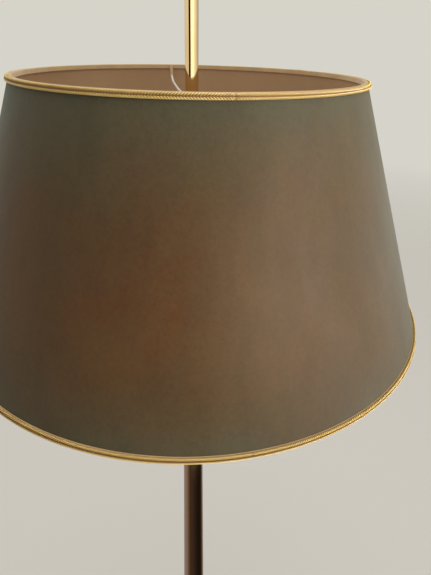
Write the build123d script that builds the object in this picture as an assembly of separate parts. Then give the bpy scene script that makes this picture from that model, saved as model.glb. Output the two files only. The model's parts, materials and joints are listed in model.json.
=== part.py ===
from build123d import *
import math
import os

# Floor lamp: a conical fabric shade on a height-adjustable brass stand.
# Millimetres, +Z up. The origin is on the floor at the centre of the round base.
# The base, column and clamp stand still; the rod carries the lampholders and the shade, and it
# slides in the column. The shade turns on the rod, between a seat and a knurled nut.

# ---- driving dimensions: shade ----
RIM_TOP = 1380.0            # height of the shade's top edge
SHADE_HEIGHT = 233.0
COVER_TOP_R = 159.6         # outside of the fabric at the top edge
COVER_FLARE = 0.3897        # radius gained for each millimetre further down
COVER_SLANT = math.cos(math.atan(COVER_FLARE))
COVER_WALL = 0.45
LINING_WALL = 0.3
LINING_GAP = 0.15
TAPE = 0.25                 # binding tape folded over each rim
TAPE_GAP = 0.04
BINDING_HEIGHT = 4.5
TOP_WIRE_R = 0.9            # wire rings inside the rims
BOTTOM_WIRE_R = 1.5
CORD_R = 1.1                # each of the twisted cords that trim the rims
CORD_GAP = 0.03

# ---- driving dimensions: spider ----
HUB_THICK = 3.0
HUB_R = 14.0
ARM_WIRE_R = 1.35
ARM_COUNT = 3
ARM_FIRST_DEG = 99.4        # azimuth of the first arm from +X
ARM_PATH = ((13.0, -25.7), (100.0, -22.3), (143.0, -18.2), (155.0, -11.5), (156.5, -1.7))
ARM_BENDS = (300.0, 35.0, 6.0)

# ---- driving dimensions: rod and column ----
ROD_R = 6.35
ROD_BORE_R = 5.0
ROD_LOW = 740.0
ROD_HIGH = 1513.0
COLUMN_LOW = 33.0
COLUMN_HIGH = 1010.0
COLUMN_TOP_R = 12.5
COLUMN_TAPER = 0.01195      # radius gained for each millimetre further down
COLUMN_WALL = 1.2
FIXED_FIT = 0.05            # radial gap where a ring is fixed on the rod
RUNNING_FIT = 0.06          # radial gap where the rod slides in its bush
TURNING_GAP = 0.3           # gap between the shade's hub and what it turns on

COLUMN_PLUG_HEIGHT = 20.0
COLUMN_PLUG_GAP = 0.03
FOOT_R = 41.0               # turned foot of the column, and the step above it
FOOT_STEP_R = 33.0
FOOT_TOP_R = 27.0
FOOT_HEIGHT = 30.0
FERRULE_R = 16.0
FERRULE_THREAD_R = 12.9
FERRULE_THREAD_LOW = 12.0   # these heights are above the column's top
FERRULE_TOP = 23.0
BUSH_R = 10.0
BUSH_TIP_R = 8.0
BUSH_TOP = 24.0
BUSH_TIP = 32.0
BUSH_SLIT = 1.0
CLAMP_R = 17.5
CLAMP_TOP = 37.0
CLAMP_CEILING = 33.0        # underside of the clamp ring's cap
ROD_STOP_R = 9.5
ROD_STOP_HEIGHT = 35.0
WIRE_HOLE_R = 2.6

# ---- driving dimensions: base ----
BASE_R = 140.0
BASE_SHOULDER = 20.0
BASE_ROUND = 6.0
BASE_WALL = 1.0
BASE_COVER_LOW = 1.5
NECK_R = 44.0
FELT = 3.0
WEIGHT_R = 132.0
WEIGHT_SHOULDER = 15.0
WEIGHT_NECK_R = 40.0
WEIGHT_ROUND = 3.0
RECESS_R = 20.0
RECESS_TOP = 14.0
TIE_R = 5.0
TIE_BORE_R = 3.5
TIE_LOW = 4.0
TIE_HIGH = 58.0
THREAD_FIT = 0.02           # radial gap in a threaded hole
CLEAR_FIT = 0.2             # radial gap in a hole that a bolt passes through
WASHER_R = 16.0
WASHER_THICK = 2.0
TIE_NUT_FLATS = 17.0
TIE_NUT_LOW = 5.0
CABLE_R = 3.1               # bore of the grommet, for a round 6 mm cable
CABLE_HEIGHT = 8.5
CABLE_CHANNEL = 10.0
GROMMET_FLANGE_R = 5.6
GROMMET_FLANGE = 1.8
GROMMET_NECK_R = 4.5
GROMMET_HOLE_R = 4.6

# ---- driving dimensions: finial ----
COLLAR_R = 10.0
COLLAR_LOW = 1496.0
COLLAR_HIGH = 1503.0
BALL_R = 16.0
BALL_SUNK = 2.0             # how far the ball's pole is cut off at its seat
SOFT_EDGE = 1.5             # rounding of turned brass and nylon edges

# ---- driving dimensions: lampholders and bulbs ----
# Places along a lampholder are distances from the rod's axis.
CLUSTER_Z = 1278.0
CLUSTER_R = 18.0
CLUSTER_WALL = 2.0
CLUSTER_ROOF = 3.0
CLUSTER_SLEEVE_R = 9.5
CLUSTER_LOW = 1264.0
CLUSTER_HIGH = 1292.0
CLUSTER_LID = 4.0
SCREW_R = 1.25
SCREW_LENGTH = 7.0
SCREW_AT = 10.2
NIPPLE_R = 5.0
NIPPLE_BORE_R = 3.5
NIPPLE_START = 12.5
NIPPLE_END = 36.0
HOLDER_NUT_FLATS = 14.0
HOLDER_NUT_START = 31.0
HOLDER_NUT_END = 34.0
HOLDER_R = 20.0
HOLDER_WALL = 1.0
HOLDER_BACK = 30.0
HOLDER_BACK_R = 9.0
HOLDER_FLARED = 40.0        # where the cap reaches its full width
HOLDER_SPLIT = 47.0         # where the cap meets the shell
HOLDER_MOUTH = 88.0
HOLDER_MOUTH_R = 14.6
INSERT_R = 18.4
INSERT_START = 46.0
INSERT_END = 60.0
SLEEVE_R = 13.8
SLEEVE_BORE_R = 13.3
SLEEVE_END = 86.0
CONTACT_R = 4.0
CONTACT_THICK = 2.0
KEY_AT = 53.0
KEY_SPINDLE_R = 2.0
KEY_COLLAR_R = 4.0
KEY_SPINDLE_TOP = 10.0      # these depths are below the lampholders' axis
KEY_WING_TOP = 23.0
KEY_WING_LOW = 35.0
KEY_WING_WIDTH = 15.0
KEY_WING_THICK = 4.0
KEY_HOLE_TOP = 8.0
BULB_R = 30.0
BULB_CENTRE = 137.0         # where the bulb is widest
BULB_NECK_R = 12.5
BULB_CAP_R = 13.0
BULB_CAP_END = 90.0
BULB_CAP_SEAT = 84.0        # where the glass stands in its cap
BULB_FLARE = 92.0           # where the glass starts to widen
GLASS = 0.8

# ---- driving dimensions: what holds the shade on the rod ----
SEAT_R = 15.0
SEAT_HEIGHT = 6.0
SHADE_NUT_R = 12.0
SHADE_NUT_HEIGHT = 5.5

# ---- heights that follow from these ----
HUB_TOP = RIM_TOP + ARM_PATH[0][1] + HUB_THICK / 2
HUB_LOW = HUB_TOP - HUB_THICK
SEAT_TOP = HUB_LOW - TURNING_GAP
NUT_LOW = HUB_TOP + TURNING_GAP
TOP_WIRE_DROP = TAPE + 2 * TAPE_GAP + TOP_WIRE_R
BOTTOM_WIRE_DROP = SHADE_HEIGHT - TAPE - 2 * TAPE_GAP - BOTTOM_WIRE_R
UPPER_CORD = CORD_R + CORD_GAP
LOWER_CORD = UPPER_CORD + 2 * CORD_R + CORD_GAP


def turned(*corners):
    """A solid turned about Z from (radius, height) corners."""
    return revolve(make_face(Plane.XZ * Polyline(*corners, close=True)), Axis.Z)


def ring(outer, inner, low, high):
    """A plain ring about Z."""
    return turned((inner, low), (outer, low), (outer, high), (inner, high))


def circle_edges(solid, radius, height):
    """The circular edges of a turned solid at one radius and height."""
    found = solid.edges().filter_by(GeomType.CIRCLE)
    return [e for e in found if abs(e.radius - radius) < 0.01 and abs(e.center().Z - height) < 0.01]


def rounded(solid, radius, height, size):
    """The solid with its circular edge at that radius and height rounded."""
    return fillet(circle_edges(solid, radius, height), size)


def fluted(solid, radius, low, high, count, flute):
    """The solid with vertical half-round flutes round its side, for a finger grip."""
    cutter = Pos(0, 0, (low + high) / 2) * Cylinder(flute, high - low)
    return solid - [place * cutter for place in PolarLocations(radius, count)]


def hexagon_nut(across_flats, hole, low, high):
    """A hexagon nut about Z."""
    blank = extrude(RegularPolygon(across_flats / 2, 6, major_radius=False), high - low)
    return Pos(0, 0, low) * (blank - Pos(0, 0, (high - low) / 2) * Cylinder(hole, high - low))


def torus(radius, wire, height):
    """A round ring of round wire about Z."""
    return Pos(0, 0, height) * Torus(radius, wire)


# ---- base ----

def base_form(inset, low):
    """The base's outer shape, inset from its outer face and cut off at a height."""
    edge = BASE_R - inset
    shoulder = BASE_SHOULDER - inset
    crown = COLUMN_LOW - inset
    form = turned((0, low), (edge, low), (edge, shoulder), (NECK_R, crown), (0, crown))
    return rounded(form, edge, shoulder, BASE_ROUND - inset)


def cable_hole(radius, start, end):
    """A round hole along +Y at the height of the cable."""
    length = end - start
    return Pos(0, start + length / 2, CABLE_HEIGHT) * Rot(90, 0, 0) * Cylinder(radius, length)


def make_base_cover():
    """Spun brass skin, open below, with a hole for the tie rod and one for the grommet."""
    skin = base_form(0, BASE_COVER_LOW) - base_form(BASE_WALL, BASE_COVER_LOW)
    skin -= Pos(0, 0, COLUMN_LOW) * Cylinder(TIE_R + CLEAR_FIT, 8 * BASE_WALL)
    return skin - cable_hole(GROMMET_HOLE_R, BASE_R - 10 * BASE_WALL, BASE_R + 5 * BASE_WALL)


def make_base_weight():
    """Cast-iron disc, raised under the cover's neck, with a recess and a cable channel below."""
    top = COLUMN_LOW - BASE_WALL
    bore = TIE_R + CLEAR_FIT
    disc = turned(
        (bore, FELT), (WEIGHT_R, FELT), (WEIGHT_R, WEIGHT_SHOULDER), (WEIGHT_NECK_R, top), (bore, top),
    )
    disc = rounded(disc, WEIGHT_R, WEIGHT_SHOULDER, WEIGHT_ROUND)
    depth = RECESS_TOP - FELT
    recess = Pos(0, 0, FELT + depth / 2) * Cylinder(RECESS_R, depth)
    channel = Pos(0, WEIGHT_R / 2, FELT + depth / 2) * Box(CABLE_CHANNEL, WEIGHT_R, depth)
    return disc - recess - channel


def make_base_felt():
    """Felt pad glued under the weight, open in the middle for the nut."""
    return ring(WEIGHT_R + 2, RECESS_R + 4, 0, FELT)


def make_cable_grommet():
    """Rubber bush in the cover's rim, where the mains cable enters."""
    gap = 0.15
    groove = BASE_WALL / 2 + gap
    face = BASE_WALL / 2 + GROMMET_FLANGE
    outline = turned(
        (CABLE_R, -face), (GROMMET_FLANGE_R, -face), (GROMMET_FLANGE_R, -groove), (GROMMET_NECK_R, -groove),
        (GROMMET_NECK_R, groove), (GROMMET_FLANGE_R, groove), (GROMMET_FLANGE_R, face), (CABLE_R, face),
    )
    wall_middle = BASE_R - BASE_WALL / 2 - gap / 3
    return Pos(0, wall_middle, CABLE_HEIGHT) * Rot(-90, 0, 0) * outline


def make_tie_rod():
    """Hollow threaded rod that pulls the column down on the base; the cable runs up inside it."""
    return ring(TIE_R, TIE_BORE_R, TIE_LOW, TIE_HIGH)


def make_tie_washer():
    return ring(WASHER_R, TIE_R + CLEAR_FIT, RECESS_TOP - WASHER_THICK, RECESS_TOP)


def make_tie_nut():
    return hexagon_nut(TIE_NUT_FLATS, TIE_R + THREAD_FIT, TIE_NUT_LOW, RECESS_TOP - WASHER_THICK)


# ---- column ----

def column_r(height):
    """Outer radius of the tapered column at a height."""
    return COLUMN_TOP_R + COLUMN_TAPER * (COLUMN_HIGH - height)


def make_column_tube():
    low, high = column_r(COLUMN_LOW), column_r(COLUMN_HIGH)
    return turned(
        (low, COLUMN_LOW), (high, COLUMN_HIGH),
        (high - COLUMN_WALL, COLUMN_HIGH), (low - COLUMN_WALL, COLUMN_LOW),
    )


def make_column_plug():
    """Steel plug brazed into the column's lower end, threaded for the tie rod."""
    top = COLUMN_LOW + COLUMN_PLUG_HEIGHT
    inside = COLUMN_WALL + COLUMN_PLUG_GAP
    bore = TIE_R + THREAD_FIT
    return turned(
        (bore, COLUMN_LOW), (column_r(COLUMN_LOW) - inside, COLUMN_LOW),
        (column_r(top) - inside, top), (bore, top),
    )


def make_column_foot():
    """Turned collar with a coved side that covers the joint of column and base."""
    low, high = COLUMN_LOW, COLUMN_LOW + FOOT_HEIGHT
    rim, step = low + 5, low + 8
    foot = turned(
        (column_r(low) + FIXED_FIT, low), (FOOT_R, low), (FOOT_R, rim), (FOOT_STEP_R, step),
        (FOOT_TOP_R + 2, high - 3), (FOOT_TOP_R, high), (column_r(high) + FIXED_FIT, high),
    )
    foot = rounded(foot, FOOT_R, rim, SOFT_EDGE)
    return rounded(foot, FOOT_STEP_R, step, 4 * SOFT_EDGE)


def make_column_ferrule():
    """Brass socket on the column's top that holds the guide bush, with a thread for the clamp."""
    low, seat = COLUMN_HIGH - 14, COLUMN_HIGH
    thread, top = COLUMN_HIGH + FERRULE_THREAD_LOW, COLUMN_HIGH + FERRULE_TOP
    bore = BUSH_R + FIXED_FIT
    body = turned(
        (column_r(low) + FIXED_FIT, low), (FERRULE_R, low), (FERRULE_R, thread), (FERRULE_THREAD_R, thread),
        (FERRULE_THREAD_R, top), (bore, top), (bore, seat), (column_r(seat) + FIXED_FIT, seat),
    )
    body = rounded(body, FERRULE_R, low, 1.2)
    return rounded(body, FERRULE_R, thread, 0.8)


def make_guide_bush():
    """Nylon bush that guides the rod; its upper end is a slit collet that the clamp squeezes."""
    low, top, tip = COLUMN_HIGH - 25, COLUMN_HIGH + BUSH_TOP, COLUMN_HIGH + BUSH_TIP
    bore = ROD_R + RUNNING_FIT
    bush = turned((bore, low), (BUSH_R, low), (BUSH_R, top), (BUSH_TIP_R, tip), (bore, tip))
    slit_depth = 12.0
    slit = Pos(0, 0, tip - slit_depth / 2) * Box(2.4 * BUSH_R, BUSH_SLIT, slit_depth)
    return bush - slit - Rot(0, 0, 90) * slit


def make_clamp_ring():
    """Knurled nut on the ferrule. Turning it squeezes the collet on the rod."""
    thread, cone = FERRULE_THREAD_R + TURNING_GAP, 10.6
    low, shoulder = COLUMN_HIGH + FERRULE_THREAD_LOW + 0.4, COLUMN_HIGH + BUSH_TOP + 0.5
    ceiling, top = COLUMN_HIGH + CLAMP_CEILING, COLUMN_HIGH + CLAMP_TOP
    bore = ROD_R + 2 * TURNING_GAP
    nut = turned(
        (thread, low), (CLAMP_R, low), (CLAMP_R, top), (bore, top), (bore, ceiling),
        (BUSH_TIP_R + 0.5, ceiling), (cone, shoulder), (thread, shoulder),
    )
    nut = rounded(nut, CLAMP_R, top, 2)
    return fluted(nut, CLAMP_R + 0.4, low, top, 32, 0.9)


# ---- rod and what is fixed to it ----

def make_rod_tube():
    """Polished brass tube with a cross hole where the wires come out inside the cluster."""
    tube = ring(ROD_R, ROD_BORE_R, ROD_LOW, ROD_HIGH)
    return tube - wire_hole(2 * ROD_R + 2)


def wire_hole(length):
    return Pos(0, 0, CLUSTER_Z + 3) * Rot(90, 0, 0) * Cylinder(WIRE_HOLE_R, length)


def make_rod_stop():
    """Nylon ring on the rod's lower end: it glides in the column and stops the rod at full height."""
    top = ROD_LOW + ROD_STOP_HEIGHT
    stop = ring(ROD_STOP_R, ROD_R + FIXED_FIT, ROD_LOW, top)
    stop = rounded(stop, ROD_STOP_R, ROD_LOW, SOFT_EDGE)
    return rounded(stop, ROD_STOP_R, top, SOFT_EDGE)


def make_finial_collar():
    collar = ring(COLLAR_R, ROD_R + FIXED_FIT, COLLAR_LOW, COLLAR_HIGH)
    collar = rounded(collar, COLLAR_R, COLLAR_LOW, SOFT_EDGE)
    return rounded(collar, COLLAR_R, COLLAR_HIGH, SOFT_EDGE)


def make_finial_ball():
    """Ball knob on the rod's top end, by which the lamp is raised and lowered."""
    centre = COLLAR_HIGH + BALL_R - BALL_SUNK
    below = 4 * BALL_R
    socket_top = ROD_HIGH + 0.5
    socket = Cylinder(ROD_R + FIXED_FIT, socket_top - COLLAR_HIGH)
    ball = Pos(0, 0, centre) * Sphere(BALL_R)
    ball -= Pos(0, 0, COLLAR_HIGH - below / 2) * Box(below, below, below)
    return ball - Pos(0, 0, (COLLAR_HIGH + socket_top) / 2) * socket


def make_cluster_body():
    """Brass cup round the rod that carries the two lampholders and covers their wiring."""
    bore, inside, roof = ROD_R + FIXED_FIT, CLUSTER_R - CLUSTER_WALL, CLUSTER_HIGH - CLUSTER_ROOF
    cup = turned(
        (bore, CLUSTER_LOW), (CLUSTER_SLEEVE_R, CLUSTER_LOW), (CLUSTER_SLEEVE_R, roof), (inside, roof),
        (inside, CLUSTER_LOW), (CLUSTER_R, CLUSTER_LOW), (CLUSTER_R, CLUSTER_HIGH), (bore, CLUSTER_HIGH),
    )
    cup = rounded(cup, CLUSTER_R, CLUSTER_HIGH, 2)
    cross_bore = Rot(0, 90, 0) * Cylinder(NIPPLE_R + THREAD_FIT, 2.2 * CLUSTER_R)
    cup -= Pos(0, 0, CLUSTER_Z) * cross_bore
    sleeve = ring(CLUSTER_SLEEVE_R, bore, CLUSTER_LOW, roof + 1)
    return cup + sleeve - wire_hole(2 * CLUSTER_SLEEVE_R + 1)


def make_cluster_lid():
    low = CLUSTER_LOW - CLUSTER_LID
    lid = ring(CLUSTER_R, ROD_R + FIXED_FIT, low, CLUSTER_LOW)
    return rounded(lid, CLUSTER_R, low, CLUSTER_LID / 2) - set_screw(CLUSTER_LOW - CLUSTER_LID / 2)


def set_screw(height):
    """A headless screw through a ring, pressed on the rod's front."""
    return Pos(0, -SCREW_AT, height) * Rot(90, 0, 0) * Cylinder(SCREW_R, SCREW_LENGTH)


def make_set_screws():
    """The identical screws that fix the cluster's lid and the shade's seat on the rod."""
    return Compound([set_screw(CLUSTER_LOW - CLUSTER_LID / 2), set_screw(SEAT_TOP - SEAT_HEIGHT / 2)])


# ---- lampholders, along +X and -X ----

def along_arm(side, solid):
    """Move a solid from the Z axis to the arm on one side of the cluster."""
    return Pos(0, 0, CLUSTER_Z) * Rot(0, 90 * side, 0) * solid


def both_arms(solid):
    return Compound([along_arm(side, solid) for side in (1, -1)])


def make_holder_nipple():
    return ring(NIPPLE_R, NIPPLE_BORE_R, NIPPLE_START, NIPPLE_END)


def make_holder_nut():
    return hexagon_nut(HOLDER_NUT_FLATS, NIPPLE_R + THREAD_FIT, HOLDER_NUT_START, HOLDER_NUT_END)


def make_holder_cap():
    """Brass cap on the nipple, closing the back of the lampholder."""
    bore, inner, floor = NIPPLE_R + FIXED_FIT, HOLDER_R - HOLDER_WALL, HOLDER_BACK + HOLDER_WALL
    return turned(
        (bore, HOLDER_BACK), (HOLDER_BACK_R, HOLDER_BACK), (HOLDER_R, HOLDER_FLARED),
        (HOLDER_R, HOLDER_SPLIT), (inner, HOLDER_SPLIT), (inner, HOLDER_FLARED + 0.5),
        (HOLDER_BACK_R - 0.4, floor), (bore, floor),
    )


def make_holder_insert(side):
    """Porcelain block with the contacts and the switch, bored for the switch's spindle."""
    block = turned((0, INSERT_START), (INSERT_R, INSERT_START), (INSERT_R, INSERT_END), (0, INSERT_END))
    return along_arm(side, block) - switch_bore(side, KEY_SPINDLE_R + TURNING_GAP)


def make_thread_sleeve():
    """Metal sleeve that the bulb screws into, without its thread's waves."""
    return ring(SLEEVE_R, SLEEVE_BORE_R, INSERT_END, SLEEVE_END)


def make_centre_contact():
    end = INSERT_END + CONTACT_THICK
    return turned((0, INSERT_END), (CONTACT_R, INSERT_END), (CONTACT_R, end), (0, end))


def make_holder_shell(side):
    """Brass shell round the sleeve, with a lip turned in at its mouth."""
    inner, lip = HOLDER_R - HOLDER_WALL, HOLDER_MOUTH - HOLDER_WALL
    shell = turned(
        (inner, HOLDER_SPLIT), (HOLDER_R, HOLDER_SPLIT), (HOLDER_R, HOLDER_MOUTH),
        (HOLDER_MOUTH_R, HOLDER_MOUTH), (HOLDER_MOUTH_R, lip), (inner, lip),
    )
    shell = rounded(shell, HOLDER_R, HOLDER_MOUTH, 0.9 * HOLDER_WALL)
    return along_arm(side, shell) - switch_bore(side, KEY_SPINDLE_R + 2 * TURNING_GAP)


def switch_bore(side, radius):
    """A hole from the lampholder's middle down through its wall."""
    depth = 1.2 * HOLDER_R
    return Pos(side * KEY_AT, 0, CLUSTER_Z - depth / 2 - KEY_HOLE_TOP) * Cylinder(radius, depth)


def make_switch_key(side):
    """Turn key of the lampholder's switch: a spindle with a flat rounded wing."""
    wing_height, overlap = KEY_WING_LOW - KEY_WING_TOP, 2
    length = KEY_WING_TOP - KEY_SPINDLE_TOP + overlap
    spindle = Pos(0, 0, -KEY_SPINDLE_TOP - length / 2) * Cylinder(KEY_SPINDLE_R, length)
    collar = Pos(0, 0, -KEY_WING_TOP - 0.5) * Cylinder(KEY_COLLAR_R, 2.4)
    wing = Box(KEY_WING_WIDTH, KEY_WING_THICK, wing_height)
    wing = fillet(wing.edges().filter_by(Axis.Y), KEY_WING_THICK)
    key = spindle + collar + Pos(0, 0, -KEY_WING_TOP - wing_height / 2) * wing
    return Pos(side * KEY_AT, 0, CLUSTER_Z) * key


def make_bulb_cap():
    """Screw cap of the bulb, with its contact at the tip."""
    tip, bore = INSERT_END + CONTACT_THICK, BULB_NECK_R + FIXED_FIT
    return turned(
        (0, tip), (4.2, tip), (5, tip + 1.5), (BULB_CAP_R, tip + 4.5), (BULB_CAP_R, BULB_CAP_END),
        (bore, BULB_CAP_END), (bore, BULB_CAP_SEAT), (0, BULB_CAP_SEAT),
    )


def bulb_form(inset, start):
    """The pear shape of the bulb: a straight neck, a flare and a ball."""
    leave = math.radians(-40)
    ball, neck = BULB_R - inset, BULB_NECK_R - inset
    joint = (ball * math.cos(leave), BULB_CENTRE + ball * math.sin(leave))
    pull = 11
    back = (joint[0] + pull * math.sin(leave), joint[1] - pull * math.cos(leave))
    middle = math.radians(25)
    over = (ball * math.cos(middle), BULB_CENTRE + ball * math.sin(middle))
    tip = (0, BULB_CENTRE + ball)
    edges = [
        Polyline((0, start), (neck, start), (neck, BULB_FLARE)),
        Bezier((neck, BULB_FLARE), (neck, BULB_FLARE + 12), back, joint),
        ThreePointArc(joint, over, tip),
        Line(tip, (0, start)),
    ]
    return revolve(make_face(Plane.XZ * Curve(edges)), Axis.Z)


def make_bulb_glass():
    return bulb_form(0, BULB_CAP_SEAT + 0.1) - bulb_form(GLASS, BULB_CAP_SEAT - 1)


# ---- shade ----

def cover_r(drop):
    """Outer radius of the fabric at a distance below the shade's top edge."""
    return COVER_TOP_R + COVER_FLARE * drop


def shade_ring(*corners):
    """A ring of the shade from (radius, distance below the top edge) corners."""
    return turned(*[(radius, RIM_TOP - drop) for radius, drop in corners])


def conical_skin(inset, wall, first, last):
    """A thin cone under the fabric's outer face, between two distances below the top edge."""
    return shade_ring(
        (cover_r(first) - inset, first), (cover_r(last) - inset, last),
        (cover_r(last) - inset - wall, last), (cover_r(first) - inset - wall, first),
    )


def make_shade_cover():
    """The stiffened fabric cone."""
    edge = TAPE + TAPE_GAP
    return conical_skin(0, COVER_WALL, edge, SHADE_HEIGHT - edge)


def make_shade_lining():
    """The lining, a little inside the fabric and between the two wire rings."""
    return conical_skin(
        COVER_WALL + LINING_GAP, LINING_WALL, BINDING_HEIGHT * 0.6, SHADE_HEIGHT - BINDING_HEIGHT,
    )


def wire_ring_place(wire, drop):
    """Radius of a wire ring that lies just inside the fabric."""
    return cover_r(drop) - COVER_WALL - (wire + TAPE_GAP) / COVER_SLANT


def make_top_ring():
    return torus(wire_ring_place(TOP_WIRE_R, TOP_WIRE_DROP), TOP_WIRE_R, RIM_TOP - TOP_WIRE_DROP)


def make_bottom_ring():
    height = RIM_TOP - BOTTOM_WIRE_DROP
    return torus(wire_ring_place(BOTTOM_WIRE_R, BOTTOM_WIRE_DROP), BOTTOM_WIRE_R, height)


def binding(edge, away, wire, wire_drop):
    """Tape folded over a rim: outside the fabric, over the edge, and inside round the wire."""
    fold = edge + away * TAPE
    end = edge + away * BINDING_HEIGHT
    inner = wire_ring_place(wire, wire_drop) - wire - TAPE_GAP
    return shade_ring(
        (cover_r(edge) + TAPE + TAPE_GAP, edge), (cover_r(end) + TAPE + TAPE_GAP, end),
        (cover_r(end) + TAPE_GAP, end), (cover_r(fold) + TAPE_GAP, fold),
        (inner, fold), (inner, end), (inner - TAPE, end), (inner - TAPE, edge),
    )


def make_top_binding():
    return binding(0.0, 1, TOP_WIRE_R, TOP_WIRE_DROP)


def make_bottom_binding():
    return binding(SHADE_HEIGHT, -1, BOTTOM_WIRE_R, BOTTOM_WIRE_DROP)


def trim_cord(drop):
    """One round of trimming cord, glued on the tape."""
    radius = cover_r(drop) + TAPE + TAPE_GAP + (CORD_R + CORD_GAP) / COVER_SLANT
    return torus(radius, CORD_R, RIM_TOP - drop)


def make_shade_seat():
    """Brass ring fixed on the rod, on which the shade's hub rests."""
    low = SEAT_TOP - SEAT_HEIGHT
    seat = ring(SEAT_R, ROD_R + FIXED_FIT, low, SEAT_TOP)
    return rounded(seat, SEAT_R, low, 2) - set_screw(SEAT_TOP - SEAT_HEIGHT / 2)


def make_shade_nut():
    """Thin knurled nut that keeps the hub on its seat."""
    top = NUT_LOW + SHADE_NUT_HEIGHT
    nut = ring(SHADE_NUT_R, ROD_R + FIXED_FIT, NUT_LOW, top)
    nut = rounded(nut, SHADE_NUT_R, top, 1)
    return fluted(nut, SHADE_NUT_R + 0.3, NUT_LOW, top, 24, 0.7)


def make_spider_hub():
    return ring(HUB_R, ROD_R + TURNING_GAP, HUB_LOW, HUB_TOP)


def make_spider_arm(azimuth):
    """Bent wire from the hub out to the top ring."""
    points = [(radius, RIM_TOP + height) for radius, height in ARM_PATH]
    path = Plane.XZ * FilletPolyline(*points, radius=list(ARM_BENDS))
    wire = sweep(Plane(path @ 0, z_dir=path % 0) * Circle(ARM_WIRE_R), path)
    return Rot(0, 0, azimuth) * wire


def make_all():
    """Every sub-part of the lamp by its node's name."""
    parts = {
        "base_felt": make_base_felt(),
        "base_weight": make_base_weight(),
        "base_cover": make_base_cover(),
        "cable_grommet": make_cable_grommet(),
        "tie_rod": make_tie_rod(),
        "tie_washer": make_tie_washer(),
        "tie_nut": make_tie_nut(),
        "column_plug": make_column_plug(),
        "column_foot": make_column_foot(),
        "column_tube": make_column_tube(),
        "column_ferrule": make_column_ferrule(),
        "guide_bush": make_guide_bush(),
        "clamp_ring": make_clamp_ring(),
        "rod_tube": make_rod_tube(),
        "rod_stop": make_rod_stop(),
        "finial_collar": make_finial_collar(),
        "finial_ball": make_finial_ball(),
        "cluster_body": make_cluster_body(),
        "cluster_lid": make_cluster_lid(),
        "set_screws": make_set_screws(),
        "shade_seat": make_shade_seat(),
        "shade_nut": make_shade_nut(),
        "holder_nipples": both_arms(make_holder_nipple()),
        "holder_nuts": both_arms(make_holder_nut()),
        "spider_hub": make_spider_hub(),
        "top_ring": make_top_ring(),
        "bottom_ring": make_bottom_ring(),
        "shade_cover": make_shade_cover(),
        "shade_lining": make_shade_lining(),
        "top_binding": make_top_binding(),
        "bottom_binding": make_bottom_binding(),
        "top_trim_upper": trim_cord(UPPER_CORD),
        "top_trim_lower": trim_cord(LOWER_CORD),
        "bottom_trim_upper": trim_cord(SHADE_HEIGHT - LOWER_CORD),
        "bottom_trim_lower": trim_cord(SHADE_HEIGHT - UPPER_CORD),
    }
    for number, side in ((1, 1), (2, -1)):
        parts[f"holder_cap_{number}"] = along_arm(side, make_holder_cap())
        parts[f"holder_insert_{number}"] = make_holder_insert(side)
        parts[f"thread_sleeve_{number}"] = along_arm(side, make_thread_sleeve())
        parts[f"centre_contact_{number}"] = along_arm(side, make_centre_contact())
        parts[f"holder_shell_{number}"] = make_holder_shell(side)
        parts[f"bulb_cap_{number}"] = along_arm(side, make_bulb_cap())
        parts[f"bulb_glass_{number}"] = along_arm(side, make_bulb_glass())
        parts[f"switch_key_{number}"] = make_switch_key(side)
    for number in range(ARM_COUNT):
        azimuth = ARM_FIRST_DEG + 360 / ARM_COUNT * number
        parts[f"spider_arm_{number + 1}"] = make_spider_arm(azimuth)
    return parts


os.makedirs("parts", exist_ok=True)
for node, shape in make_all().items():
    export_step(shape, f"parts/{node}.step")
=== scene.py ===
"""A floor lamp with a wide conical fabric shade on a brass stand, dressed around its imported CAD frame."""

import json
import math

import bpy
import numpy as np
from mathutils import Matrix, Vector


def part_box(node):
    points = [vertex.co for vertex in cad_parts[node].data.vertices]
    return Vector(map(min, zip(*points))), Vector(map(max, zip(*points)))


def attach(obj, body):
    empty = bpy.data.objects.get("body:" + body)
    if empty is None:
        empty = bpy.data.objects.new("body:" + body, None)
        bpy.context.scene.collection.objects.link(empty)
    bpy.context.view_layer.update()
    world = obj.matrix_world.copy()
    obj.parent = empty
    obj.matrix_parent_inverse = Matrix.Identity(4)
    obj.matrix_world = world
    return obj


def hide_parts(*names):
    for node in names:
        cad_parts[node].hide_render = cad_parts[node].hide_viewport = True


MM = 0.001
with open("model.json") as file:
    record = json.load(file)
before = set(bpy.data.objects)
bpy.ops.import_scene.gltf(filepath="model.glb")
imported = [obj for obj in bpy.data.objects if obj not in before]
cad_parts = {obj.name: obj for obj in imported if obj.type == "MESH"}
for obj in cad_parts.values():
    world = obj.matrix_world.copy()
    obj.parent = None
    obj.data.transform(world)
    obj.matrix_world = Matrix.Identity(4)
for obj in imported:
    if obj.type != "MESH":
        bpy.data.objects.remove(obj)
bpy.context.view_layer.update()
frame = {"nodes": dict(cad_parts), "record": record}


# ---------------------------------------------------------------- places read from the frame

LEVEL = 0.01 * MM           # mesh points that differ less than this in height are on one edge


def corners_of(node):
    """The mesh points of a CAD node, as rows of x, y and z."""
    return np.array([vertex.co for vertex in frame["nodes"][node].data.vertices])


def inner_edge_radius(node):
    """Least distance of a CAD node's mesh points from the lamp's axis."""
    points = corners_of(node)
    return float(np.hypot(points[:, 0], points[:, 1]).min())


def ring_radius(node, top):
    """Outer radius, about the lamp's axis, of a CAD node's highest or lowest edge."""
    points = corners_of(node)
    level = points[:, 2].max() if top else points[:, 2].min()
    edge = points[np.abs(points[:, 2] - level) < LEVEL]
    return float(np.hypot(edge[:, 0], edge[:, 1]).max())


def half_width(node):
    low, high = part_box(node)
    return (high.x - low.x) / 2


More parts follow.
